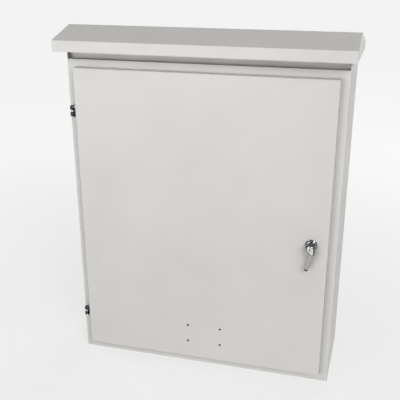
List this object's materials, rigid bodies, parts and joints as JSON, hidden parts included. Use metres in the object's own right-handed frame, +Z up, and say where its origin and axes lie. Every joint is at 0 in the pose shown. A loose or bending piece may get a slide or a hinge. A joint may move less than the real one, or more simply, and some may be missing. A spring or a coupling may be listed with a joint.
{
  "type": "electrical distribution box",
  "caption": "Shallow sheet-steel wall cabinet with a gable rain hood and a hinged tray door with a quarter-turn lock, holding breakers and terminal bars.",
  "frame": {"origin": "centre of the cabinet's bottom face", "axes": "+X to the right seen from the door, +Y to the back, +Z up"},
  "size_m": [0.52, 0.2096, 0.646],
  "materials": {
    "cabinet_paint": "satin pale grey powder coat",
    "zinc_sheet": "zinc plated",
    "zinc_fastener": "zinc plated",
    "hinge_plating": "black chrome plated",
    "lock_chrome": "bright plated casting",
    "dark_plastic": "moulded",
    "seal_rubber": "matt",
    "switch_case": "moulded",
    "bar_brass": "drawn bar",
    "neutral_insulator": "moulded",
    "earth_spacer": "moulded"
  },
  "bodies": {
    "cabinet": {"cabinet_body": "cabinet_paint", "rain_hood": "cabinet_paint", "hood_brackets": "cabinet_paint", "mounting_plate": "zinc_sheet", "upper_rail": "zinc_sheet", "lower_rail": "zinc_sheet", "gland_plate": "zinc_sheet", "hood_bolts": "zinc_fastener", "hood_nuts": "zinc_fastener", "plate_studs": "zinc_fastener", "plate_nuts": "zinc_fastener", "rail_screws": "zinc_fastener", "neutral_bar_screws": "zinc_fastener", "earth_bar_screws": "zinc_fastener", "body_earth_stud": "zinc_fastener", "body_earth_nut": "zinc_fastener", "gland_screws": "zinc_fastener", "upper_hinge_base": "hinge_plating", "upper_hinge_pin": "hinge_plating", "lower_hinge_base": "hinge_plating", "lower_hinge_pin": "hinge_plating", "gland_gasket": "seal_rubber", "cable_grommet_1": "seal_rubber", "cable_grommet_2": "seal_rubber", "cable_grommet_3": "seal_rubber", "main_switch": "switch_case", "breaker_1": "switch_case", "breaker_2": "switch_case", "breaker_3": "switch_case", "breaker_4": "switch_case", "breaker_5": "switch_case", "breaker_6": "switch_case", "neutral_bar": "bar_brass", "earth_bar": "bar_brass", "neutral_bar_feet": "neutral_insulator", "earth_bar_feet": "earth_spacer"},
    "door": {"door_panel": "cabinet_paint", "door_seal": "seal_rubber", "upper_hinge_leaf": "hinge_plating", "lower_hinge_leaf": "hinge_plating", "lock_body": "lock_chrome", "lock_nut": "zinc_fastener", "door_earth_stud": "zinc_fastener", "door_earth_nut": "zinc_fastener"},
    "handle": {"lock_handle": "lock_chrome", "handle_tip": "dark_plastic", "lock_cam": "zinc_sheet", "cam_screw": "zinc_fastener"},
    "key_plug": {"key_plug": "lock_chrome"},
    "main_toggle": {"main_switch_toggle": "dark_plastic"},
    "toggle_1": {"breaker_toggle_1": "dark_plastic"},
    "toggle_2": {"breaker_toggle_2": "dark_plastic"},
    "toggle_3": {"breaker_toggle_3": "dark_plastic"},
    "toggle_4": {"breaker_toggle_4": "dark_plastic"},
    "toggle_5": {"breaker_toggle_5": "dark_plastic"},
    "toggle_6": {"breaker_toggle_6": "dark_plastic"}
  },
  "joints": [
    {"name": "door_swing", "type": "hinge", "parent": "cabinet", "child": "door", "pos_m": [-0.243, -0.0895, 0.292], "axis": [0, 0, -1], "range_deg": [0, 120]},
    {"name": "handle_turn", "type": "hinge", "parent": "door", "child": "handle", "pos_m": [0.205, -0.0975, 0.286], "axis": [0, 1, 0], "range_deg": [0, 90]},
    {"name": "key_turn", "type": "hinge", "parent": "handle", "child": "key_plug", "pos_m": [0.205, -0.0975, 0.286], "axis": [0, 1, 0], "range_deg": [0, 90]},
    {"name": "main_switch_tip", "type": "hinge", "parent": "cabinet", "child": "main_toggle", "pos_m": [0, -0.0115, 0.43], "axis": [-1, 0, 0], "range_deg": [0, 70]},
    {"name": "breaker_1_tip", "type": "hinge", "parent": "cabinet", "child": "toggle_1", "pos_m": [-0.045, -0.0115, 0.27], "axis": [-1, 0, 0], "range_deg": [0, 70]},
    {"name": "breaker_2_tip", "type": "hinge", "parent": "cabinet", "child": "toggle_2", "pos_m": [-0.027, -0.0115, 0.27], "axis": [-1, 0, 0], "range_deg": [0, 70]},
    {"name": "breaker_3_tip", "type": "hinge", "parent": "cabinet", "child": "toggle_3", "pos_m": [-0.009, -0.0115, 0.27], "axis": [-1, 0, 0], "range_deg": [0, 70]},
    {"name": "breaker_4_tip", "type": "hinge", "parent": "cabinet", "child": "toggle_4", "pos_m": [0.009, -0.0115, 0.27], "axis": [-1, 0, 0], "range_deg": [0, 70]},
    {"name": "breaker_5_tip", "type": "hinge", "parent": "cabinet", "child": "toggle_5", "pos_m": [0.027, -0.0115, 0.27], "axis": [-1, 0, 0], "range_deg": [0, 70]},
    {"name": "breaker_6_tip", "type": "hinge", "parent": "cabinet", "child": "toggle_6", "pos_m": [0.045, -0.0115, 0.27], "axis": [-1, 0, 0], "range_deg": [0, 70]}
  ]
}
